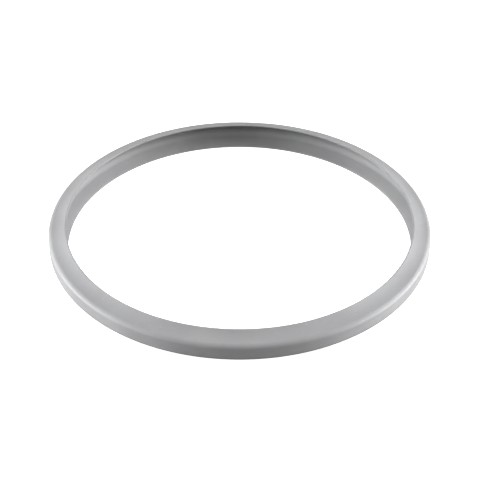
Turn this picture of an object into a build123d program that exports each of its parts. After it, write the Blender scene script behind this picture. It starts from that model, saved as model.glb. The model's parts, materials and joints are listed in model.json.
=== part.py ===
from build123d import *
import math
import os

# Sealing ring for the lid of a pressure cooker, moulded in one piece of silicone rubber.
# Its section is a C that opens inwards: an outer wall, and two lips that flare apart towards their tips.
# The ring's axis is Z, and the origin is at the centre of the plane that the lower lip rests on.

# Driving dimensions, in millimetres
outer_diameter = 224.0  # over the outer wall, which sits in the rim of the lid
section_width = 10.7  # from the outer wall to the tips of the lips
section_height = 17.1  # from the tip of one lip to the tip of the other
wall_land = 5.3  # height of the straight part of the outer wall
shoulder_radius = 2.9  # where the outer wall turns into a lip
lip_hollow_radius = 20.0  # slight hollow of the outer face of a lip, which flares towards its tip
web_thickness = 3.3  # between the outer wall and the floor of the channel
lip_thickness = 2.2  # at the root of a lip, which thins towards its tip
lip_tip_radius = 0.6  # rounded edge that seals
channel_corner_radius = 4.3  # between the floor of the channel and a lip

# The two corners of the channel never meet, so a little flat floor is left between them
roundest_channel = 0.95

outer_radius = outer_diameter / 2
floor_radius = outer_radius - web_thickness
hollow_to_channel = lip_hollow_radius + lip_thickness


def heading(start, end):
    """Angle in degrees from one point of the section to another."""
    return math.degrees(math.atan2(end.Y - start.Y, end.X - start.X))


def polar(centre, radius, angle):
    """Point at an angle in degrees on a circle of the section."""
    return centre + Vector(radius, 0).rotate(Axis.Z, angle)


def tangent_centre(first, first_distance, second, second_distance):
    """Point at given distances from two centres, on the side away from the middle of the section."""
    span = (second - first).length
    along = (first_distance**2 - second_distance**2 + span**2) / (2 * span)
    aside = math.sqrt(first_distance**2 - along**2)
    direction = (second - first) / span
    return first + direction * along + Vector(direction.Y, -direction.X) * aside


def full_round_radius(hollow):
    """Radius of a channel whose floor is one round from lip to lip."""
    reach = floor_radius - hollow.X
    return (reach**2 + hollow.Y**2 - hollow_to_channel**2) / (2 * (hollow_to_channel + reach))


def upper_half():
    """Outline of the section above its middle plane, from the outer wall round to the channel's floor."""
    shoulder = Vector(outer_radius - shoulder_radius, wall_land / 2)
    tip = Vector(
        outer_radius - section_width + lip_tip_radius,
        section_height / 2 - lip_tip_radius,
    )
    hollow = tangent_centre(
        shoulder, lip_hollow_radius + shoulder_radius, tip, lip_hollow_radius + lip_tip_radius
    )
    shoulder_end = heading(shoulder, hollow)
    tip_start = heading(tip, hollow)
    hollow_start = heading(hollow, shoulder)
    hollow_size = heading(hollow, tip) - hollow_start

    corner_radius = min(channel_corner_radius, roundest_channel * full_round_radius(hollow))
    corner_x = floor_radius - corner_radius
    corner_reach = hollow_to_channel + corner_radius
    corner = Vector(corner_x, hollow.Y - math.sqrt(corner_reach**2 - (corner_x - hollow.X) ** 2))

    # The lip's inner face touches the tip's round on one side and the channel's corner on the other
    gap = (tip - corner).length
    lean = math.degrees(math.acos((lip_tip_radius + corner_radius) / gap))
    inner_normal = heading(corner, tip) - lean
    tip_end = inner_normal + 180

    return [
        Line((outer_radius, 0), (outer_radius, wall_land / 2)),
        CenterArc(shoulder, shoulder_radius, 0, shoulder_end),
        CenterArc(hollow, lip_hollow_radius, hollow_start, hollow_size),
        CenterArc(tip, lip_tip_radius, tip_start, tip_end - tip_start),
        Line(polar(tip, lip_tip_radius, tip_end), polar(corner, corner_radius, inner_normal)),
        CenterArc(corner, corner_radius, inner_normal, -inner_normal),
        Line((floor_radius, corner.Y), (floor_radius, 0)),
    ]


def sealing_ring():
    """The whole ring, standing on the tip of its lower lip."""
    upper = Curve() + upper_half()
    section = make_face(upper + mirror(upper, Plane.XZ))
    standing = Plane.XZ * Pos(0, section_height / 2) * section
    return revolve(standing, Axis.Z)


os.makedirs("parts", exist_ok=True)
export_step(sealing_ring(), "parts/sealing_ring.step")
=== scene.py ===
import json
import math

import bpy
import numpy as np
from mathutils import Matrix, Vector


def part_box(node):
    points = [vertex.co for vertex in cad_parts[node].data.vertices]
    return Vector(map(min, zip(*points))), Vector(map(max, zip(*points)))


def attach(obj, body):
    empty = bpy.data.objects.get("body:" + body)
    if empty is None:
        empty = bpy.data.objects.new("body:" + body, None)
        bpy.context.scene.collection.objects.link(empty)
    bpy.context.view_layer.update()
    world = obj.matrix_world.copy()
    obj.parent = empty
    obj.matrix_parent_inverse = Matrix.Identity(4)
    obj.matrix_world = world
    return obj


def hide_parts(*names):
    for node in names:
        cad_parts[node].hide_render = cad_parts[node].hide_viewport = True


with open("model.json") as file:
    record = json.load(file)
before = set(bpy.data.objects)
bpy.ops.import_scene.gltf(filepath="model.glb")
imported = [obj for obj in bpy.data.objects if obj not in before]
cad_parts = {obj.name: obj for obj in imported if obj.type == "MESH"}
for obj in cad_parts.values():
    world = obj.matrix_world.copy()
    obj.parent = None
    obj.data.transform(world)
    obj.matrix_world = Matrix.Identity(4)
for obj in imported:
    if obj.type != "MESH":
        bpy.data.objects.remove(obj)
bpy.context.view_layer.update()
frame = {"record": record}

MM = 0.001

# The ring's size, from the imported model. Its outer wall is the rim_seat mount.
seat = next(mount for mount in frame["record"]["mounts"] if mount["name"] == "rim_seat")
OUTER_RADIUS = seat["dims"]["r_mm"] * MM
WALL_LAND = seat["dims"]["length_mm"] * MM
RING_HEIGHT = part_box("sealing_ring")[1].z

# The rest of the section, as in the CAD model
SECTION_WIDTH = 10.7 * MM
SHOULDER_RADIUS = 2.9 * MM
LIP_HOLLOW_RADIUS = 20.0 * MM
WEB_THICKNESS = 3.3 * MM
LIP_THICKNESS = 2.2 * MM
LIP_TIP_RADIUS = 0.6 * MM
CHANNEL_CORNER_RADIUS = 4.3 * MM
CHANNEL_FLOOR_RADIUS = OUTER_RADIUS - WEB_THICKNESS

# Small relief of a moulded part: the mould's parting line round the wall, and lips that aren't quite flat
PARTING_DEPTH = 0.05 * MM
PARTING_WIDTH = 0.10 * MM
PARTING_REACH = 3 * PARTING_WIDTH
LIP_DROOP = 0.15 * MM
DROOP_WAVES = (
    # waves in one turn, share of the droop, phase in radians
    (2, 0.30, 0.4),
    (3, 0.35, 1.9),
    (7, 0.20, 4.1),
    (17, 0.15, 2.6),
)

# Mesh density
STEPS_AROUND = 540
ARC_STEP = math.radians(6)
TIP_STEP = 2 * ARC_STEP
LINE_STEP = 0.4 * MM
HOLLOW_STEP = LINE_STEP / LIP_HOLLOW_RADIUS
PARTING_STEP = PARTING_WIDTH / 2

# The silicone's greys
CLOUD_DARK = (0.285, 0.286, 0.292, 1)
CLOUD_PALE = (0.315, 0.316, 0.321, 1)
GRAIN_DARK = (0.25, 0.25, 0.257, 1)
DUST_PALE = (0.52, 0.52, 0.51, 1)

# Lumps to the metre in each of the silicone's noises
CLOUD_SCALE = 40
SMUDGE_SCALE = 75
PEBBLE_SCALE = 420
DUST_SCALE = 900
GRAIN_SCALE = 1600
STREAK_SCALE_AROUND = 12
STREAK_SCALE_ACROSS = 2600

# Most noise values lie in one of the spreads. Smudges and specks of dust show only where their noise is high.
NOISE_SPREAD = (0.35, 0.65)
WIDE_SPREAD = (0.3, 0.7)
SMUDGE_EDGE = (0.52, 0.70)
DUST_EDGE = (0.66, 0.74)
GRAIN_STRENGTH = 0.25
DUST_STRENGTH = 0.5

# The silicone's gloss, and the height of its relief
ROUGHNESS = (0.51, 0.57)
STREAK_ROUGHNESS = 0.06
SMUDGE_ROUGHNESS = 0.05
PEBBLE_RELIEF = 0.012 * MM
GRAIN_RELIEF = 0.006 * MM
STREAK_RELIEF = 0.004 * MM

# Floor
FLOOR_SIZE = 4.0
FLOOR_DARK = (0.86, 0.86, 0.86, 1)
FLOOR_PALE = (0.88, 0.88, 0.88, 1)
FLOOR_MOTTLE_SCALE = 30
FLOOR_ROUGHNESS = 0.9
FLOOR_GLOW = 0.75

# Camera: looks along +Y and down at the ring
CAMERA_DISTANCE = 0.8
CAMERA_ELEVATION = math.radians(37.03)
CAMERA_TARGET = Vector((0.25, -10.0, 0)) * MM
FOCAL_LENGTH_MM = 97.88
SENSOR_MM = 36.0

# Lights: long low strips at both sides, and weaker softboxes above, in front and behind
SOFTBOX_DISTANCE = 1.5
SOFTBOXES = (
    # name, azimuth and elevation in degrees, width and height in metres, power in watts
    ("left_strip", 182, -1, 1.5, 0.6, 35),
    ("right_strip", 0, -1, 1.4, 0.6, 36),
    ("overhead", 90, 76, 0.9, 0.25, 6.5),
    ("front_top", 270, 46, 0.9, 0.3, 5),
    ("left_top", 182, 38, 0.9, 0.4, 6),
    ("right_top", 5, 38, 0.9, 0.4, 9),
    ("left_back", 135, 33, 1.2, 0.6, 3),
    ("right_back", 55, 28, 0.5, 0.35, 1.5),
)
ROOM_LIGHT = 0.15

WHITE = (1, 1, 1, 1)


def arc(centre, radius, start, end, step):
    """Points along an arc of the section, without its last one."""
    count = max(2, math.ceil(abs(end - start) / step))
    angles = start + (end - start) * np.arange(count) / count
    return [centre + radius * np.array((math.cos(a), math.sin(a))) for a in angles]


def line(start, end, step):
    """Points along a straight stretch of the section, without its last one."""
    count = max(1, math.ceil(np.linalg.norm(end - start) / step))
    return [start + (end - start) * i / count for i in range(count)]


def heading(start, end):
    """Angle from one point of the section to another."""
    return math.atan2(end[1] - start[1], end[0] - start[0])


def hollow_centre(shoulder, tip):
    """Centre of the lip's hollow outer face, an arc tangent to the rounds of the shoulder and the tip."""
    span = np.linalg.norm(tip - shoulder)
    direction = (tip - shoulder) / span
    to_shoulder = LIP_HOLLOW_RADIUS + SHOULDER_RADIUS
    to_tip = LIP_HOLLOW_RADIUS + LIP_TIP_RADIUS
    along = (to_shoulder**2 - to_tip**2 + span**2) / (2 * span)
    aside = math.sqrt(to_shoulder**2 - along**2)
    return shoulder + direction * along + np.array((direction[1], -direction[0])) * aside


def corner_centre(hollow):
    """Centre of the channel's corner, an arc tangent to the floor and to the inside of the lip's root."""
    x = CHANNEL_FLOOR_RADIUS - CHANNEL_CORNER_RADIUS
    reach = LIP_HOLLOW_RADIUS + LIP_THICKNESS + CHANNEL_CORNER_RADIUS
    return np.array((x, hollow[1] - math.sqrt(reach**2 - (x - hollow[0]) ** 2)))


def upper_outline():
    """Section above the middle plane, as (radius, height) points from the wall to the channel's floor."""
    shoulder = np.array((OUTER_RADIUS - SHOULDER_RADIUS, WALL_LAND / 2))
    tip = np.array((OUTER_RADIUS - SECTION_WIDTH + LIP_TIP_RADIUS, RING_HEIGHT / 2 - LIP_TIP_RADIUS))
    hollow = hollow_centre(shoulder, tip)
    corner = corner_centre(hollow)

    # Direction from the corner's centre to where the lip's straight inner face touches it
    lean = math.acos((LIP_TIP_RADIUS + CHANNEL_CORNER_RADIUS) / np.linalg.norm(tip - corner))
    normal = heading(corner, tip) - lean
    towards_lip = np.array((math.cos(normal), math.sin(normal)))
    lip_end = tip - LIP_TIP_RADIUS * towards_lip
    lip_root = corner + CHANNEL_CORNER_RADIUS * towards_lip

    wall_foot = np.array((OUTER_RADIUS, 0))
    parting_end = np.array((OUTER_RADIUS, PARTING_REACH))
    wall_top = np.array((OUTER_RADIUS, WALL_LAND / 2))
    floor_end = np.array((CHANNEL_FLOOR_RADIUS, corner[1]))
    floor_middle = np.array((CHANNEL_FLOOR_RADIUS, 0))

    points = line(wall_foot, parting_end, PARTING_STEP)
    points += line(parting_end, wall_top, LINE_STEP)
    points += arc(shoulder, SHOULDER_RADIUS, 0, heading(shoulder, hollow), ARC_STEP)
    points += arc(hollow, LIP_HOLLOW_RADIUS, heading(hollow, shoulder), heading(hollow, tip), HOLLOW_STEP)
    points += arc(tip, LIP_TIP_RADIUS, heading(tip, hollow), normal + math.pi, TIP_STEP)
    points += line(lip_end, lip_root, LINE_STEP)
    points += arc(corner, CHANNEL_CORNER_RADIUS, normal, 0, ARC_STEP)
    points += line(floor_end, floor_middle, LINE_STEP)
    points.append(floor_middle)
    return np.array(points)


def section():
    """Closed section, as (radius, height above the table) points."""
    upper = upper_outline()
    lower = upper[1:-1][::-1] * (1, -1)
    return np.vstack((upper, lower)) + (0, RING_HEIGHT / 2)


def parting_line(height):
    """Depth of the parting line's shallow groove at a height above the middle plane."""
    return PARTING_DEPTH * np.exp(-((height / PARTING_WIDTH) ** 2))


def lip_droop(angle, radius):
    """How far a lip sags towards the middle plane, from 0 at the shoulder to its most at the tip."""
    waves = sum(share * (1 + np.cos(count * angle + phase)) / 2 for count, share, phase in DROOP_WAVES)
    lip_start = OUTER_RADIUS - SHOULDER_RADIUS
    lip_length = SECTION_WIDTH - SHOULDER_RADIUS
    along = np.clip((lip_start - radius) / lip_length, 0, 1)
    return LIP_DROOP * waves * along**2


def ring_points():
    """Every vertex of the ring, as rows round the axis of points along the section."""
    outline = section()
    angle = (2 * math.pi * np.arange(STEPS_AROUND) / STEPS_AROUND)[:, None]
    radius = outline[None, :, 0]
    height = outline[None, :, 1] - RING_HEIGHT / 2
    on_wall = radius > OUTER_RADIUS - WEB_THICKNESS / 2
    radius = radius - on_wall * parting_line(height)
    height = height - np.sign(height) * lip_droop(angle, radius)
    return np.stack((radius * np.cos(angle), radius * np.sin(angle), height + RING_HEIGHT / 2), -1)


def ring_mesh():
    """Turns the section round the axis into a mesh of quads."""
    points = ring_points()
    rows, count = points.shape[:2]
    around, across = np.meshgrid(np.arange(rows), np.arange(count), indexing="ij")
    next_around = (around + 1) % rows
    next_across = (across + 1) % count
    corners = ((around, across), (next_around, across), (next_around, next_across), (around, next_across))
    quads = np.stack([row * count + column for row, column in corners], -1)
    mesh = bpy.data.meshes.new("sealing_ring_skin")
    mesh.from_pydata(points.reshape(-1, 3).tolist(), [], quads.reshape(-1, 4).tolist())
    mesh.shade_smooth()
    mesh.validate()
    return mesh


def add_object(name, data):
    """Adds an object to the scene."""
    added = bpy.data.objects.new(name, data)
    bpy.context.scene.collection.objects.link(added)
    return added


def add_node(tree, kind, inputs=None, **settings):
    """Adds a shader node, and sets its options and its input values."""
    node = tree.nodes.new(kind)
    for name, value in settings.items():
        setattr(node, name, value)
    for name, value in (inputs or {}).items():
        node.inputs[name].default_value = value
    return node


def new_material(name):
    """A new material, with its node tree, its shader and the surface's own coordinates."""
    material = bpy.data.materials.new(name)
    material.use_nodes = True
    tree = material.node_tree
    position = add_node(tree, "ShaderNodeTexCoord").outputs["Object"]
    return material, tree, tree.nodes["Principled BSDF"], position


def noise(tree, vector, scale, detail, roughness=0.5):
    """Value noise with about `scale` lumps to the metre."""
    node = add_node(tree, "ShaderNodeTexNoise", {"Scale": scale, "Detail": detail, "Roughness": roughness})
    tree.links.new(vector, node.inputs["Vector"])
    return node.outputs["Fac"]


def stretched(tree, vector, factors):
    """A vector with each of its coordinates multiplied by its own factor."""
    node = add_node(tree, "ShaderNodeVectorMath", operation="MULTIPLY")
    node.inputs[1].default_value = factors
    tree.links.new(vector, node.inputs[0])
    return node.outputs["Vector"]


def streaks(tree, position, around_scale, across_scale):
    """Noise drawn out into long fine streaks that run round the ring, as on a part from a turned mould."""
    squashed = stretched(tree, position, (around_scale, around_scale, across_scale))
    flat = stretched(tree, position, (across_scale, across_scale, 0))
    radius = add_node(tree, "ShaderNodeVectorMath", operation="LENGTH")
    tree.links.new(flat, radius.inputs[0])
    node = add_node(tree, "ShaderNodeTexNoise", {"Scale": 1, "Detail": 2}, noise_dimensions="4D")
    tree.links.new(squashed, node.inputs["Vector"])
    tree.links.new(radius.outputs["Value"], node.inputs["W"])
    return node.outputs["Fac"]


def remap(tree, value, source, target):
    """Moves a value from one (low, high) range to another, and keeps it inside the second."""
    limits = {"From Min": source[0], "From Max": source[1], "To Min": target[0], "To Max": target[1]}
    node = add_node(tree, "ShaderNodeMapRange", limits)
    tree.links.new(value, node.inputs["Value"])
    return node.outputs["Result"]


def combine(tree, operation, first, second):
    """Sum, product or the like of two values."""
    node = add_node(tree, "ShaderNodeMath", operation=operation)
    tree.links.new(first, node.inputs[0])
    tree.links.new(second, node.inputs[1])
    return node.outputs["Value"]


def tint(tree, amount, plain, other):
    """Blends two colours, each of them fixed or from another node, by an amount from 0 to 1."""
    node = add_node(tree, "ShaderNodeMix", data_type="RGBA")
    tree.links.new(amount, node.inputs["Factor"])
    for name, colour in (("A", plain), ("B", other)):
        socket = next(i for i in node.inputs if i.name == name and i.type == "RGBA")
        if isinstance(colour, tuple):
            socket.default_value = colour
        else:
            tree.links.new(colour, socket)
    return next(output for output in node.outputs if output.type == "RGBA")


def bump(tree, height, distance, normal=None):
    """Relief `distance` high, on top of the relief that `normal` already has."""
    node = add_node(tree, "ShaderNodeBump", {"Strength": 1.0, "Distance": distance})
    tree.links.new(height, node.inputs["Height"])
    if normal is not None:
        tree.links.new(normal, node.inputs["Normal"])
    return node.outputs["Normal"]


def silicone():
    """Satin grey silicone rubber: cloudy colour, moulded grain, faint streaks, dull smudges and dust."""
    material, tree, shader, position = new_material("grey_silicone")
    clouds = noise(tree, position, CLOUD_SCALE, detail=4)
    grain = noise(tree, position, GRAIN_SCALE, detail=3, roughness=0.6)
    pebble = noise(tree, position, PEBBLE_SCALE, detail=2)
    lines = streaks(tree, position, STREAK_SCALE_AROUND, STREAK_SCALE_ACROSS)
    speck_noise = noise(tree, position, DUST_SCALE, detail=1)
    specks = remap(tree, speck_noise, DUST_EDGE, (0, 1))
    smudge_noise = noise(tree, position, SMUDGE_SCALE, detail=3, roughness=0.6)
    smudge = remap(tree, smudge_noise, SMUDGE_EDGE, (0, 1))
    dust = combine(tree, "MULTIPLY", specks, smudge)

    cloudy = tint(tree, remap(tree, clouds, NOISE_SPREAD, (0, 1)), CLOUD_DARK, CLOUD_PALE)
    grainy = tint(tree, remap(tree, grain, NOISE_SPREAD, (0, GRAIN_STRENGTH)), cloudy, GRAIN_DARK)
    dusty = tint(tree, remap(tree, dust, (0, 1), (0, DUST_STRENGTH)), grainy, DUST_PALE)
    tree.links.new(dusty, shader.inputs["Base Color"])

    cloudy_gloss = remap(tree, clouds, NOISE_SPREAD, ROUGHNESS)
    streaky_gloss = remap(tree, lines, WIDE_SPREAD, (0, STREAK_ROUGHNESS))
    smudged_gloss = remap(tree, smudge, (0, 1), (0, SMUDGE_ROUGHNESS))
    satin = combine(tree, "ADD", cloudy_gloss, streaky_gloss)
    dull = combine(tree, "ADD", satin, smudged_gloss)
    tree.links.new(dull, shader.inputs["Roughness"])

    relief = bump(tree, pebble, PEBBLE_RELIEF)
    relief = bump(tree, grain, GRAIN_RELIEF, relief)
    relief = bump(tree, lines, STREAK_RELIEF, relief)
    tree.links.new(relief, shader.inputs["Normal"])
    return material


def pale_floor():
    """White light table: it glows evenly, so shadows on it stay faint."""
    material, tree, shader, position = new_material("pale_floor")
    mottle_noise = noise(tree, position, FLOOR_MOTTLE_SCALE, detail=3)
    mottle = remap(tree, mottle_noise, WIDE_SPREAD, (0, 1))
    tree.links.new(tint(tree, mottle, FLOOR_DARK, FLOOR_PALE), shader.inputs["Base Color"])
    shader.inputs["Roughness"].default_value = FLOOR_ROUGHNESS
    shader.inputs["Emission Color"].default_value = WHITE
    shader.inputs["Emission Strength"].default_value = FLOOR_GLOW
    return material


def add_ring():
    """The ring's detailed skin, in place of the CAD solid."""
    ring = add_object("ring_skin", ring_mesh())
    ring.data.materials.append(silicone())
    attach(ring, "root")
    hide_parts("sealing_ring")


def add_floor():
    """The plain floor that the ring lies on."""
    half = FLOOR_SIZE / 2
    corners = [(-half, -half, 0), (half, -half, 0), (half, half, 0), (-half, half, 0)]
    mesh = bpy.data.meshes.new("floor")
    mesh.from_pydata(corners, [], [(0, 1, 2, 3)])
    floor = add_object("floor", mesh)
    floor.data.materials.append(pale_floor())
    # The floor throws no light back at the ring, and lets the even light of the room reach it from below
    floor.visible_diffuse = False
    floor.visible_glossy = False
    floor.visible_shadow = False


def aim(placed, location, target):
    """Puts a camera or a light at a place, facing a target."""
    placed.location = location
    placed.rotation_euler = (target - location).to_track_quat("-Z", "Y").to_euler()


def add_camera():
    """The camera that takes the picture."""
    data = bpy.data.cameras.new("camera")
    data.lens = FOCAL_LENGTH_MM
    data.sensor_width = SENSOR_MM
    data.sensor_fit = "AUTO"
    camera = add_object("camera", data)
    back = Vector((0, -math.cos(CAMERA_ELEVATION), math.sin(CAMERA_ELEVATION)))
    aim(camera, CAMERA_TARGET + back * CAMERA_DISTANCE, CAMERA_TARGET)
    bpy.context.scene.camera = camera


def add_softbox(name, azimuth, elevation, width, height, power):
    """A soft light that faces the ring. Azimuth 0 is +X, on the right, and 90 is behind the ring."""
    data = bpy.data.lights.new(name, "AREA")
    data.shape = "RECTANGLE"
    data.size = width
    data.size_y = height
    data.energy = power
    light = add_object(name, data)
    light.visible_camera = False
    turn = math.radians(azimuth)
    rise = math.radians(elevation)
    direction = Vector((math.cos(rise) * math.cos(turn), math.cos(rise) * math.sin(turn), math.sin(rise)))
    aim(light, direction * SOFTBOX_DISTANCE, Vector())


def add_room():
    """An even dim light from all round."""
    room = bpy.data.worlds.new("room")
    room.use_nodes = True
    background = room.node_tree.nodes["Background"]
    background.inputs["Color"].default_value = WHITE
    background.inputs["Strength"].default_value = ROOM_LIGHT
    bpy.context.scene.world = room


bpy.context.scene.view_settings.view_transform = "Standard"
bpy.context.scene.view_settings.look = "Medium High Contrast"
add_camera()
add_ring()
add_floor()
for softbox in SOFTBOXES:
    add_softbox(*softbox)
add_room()
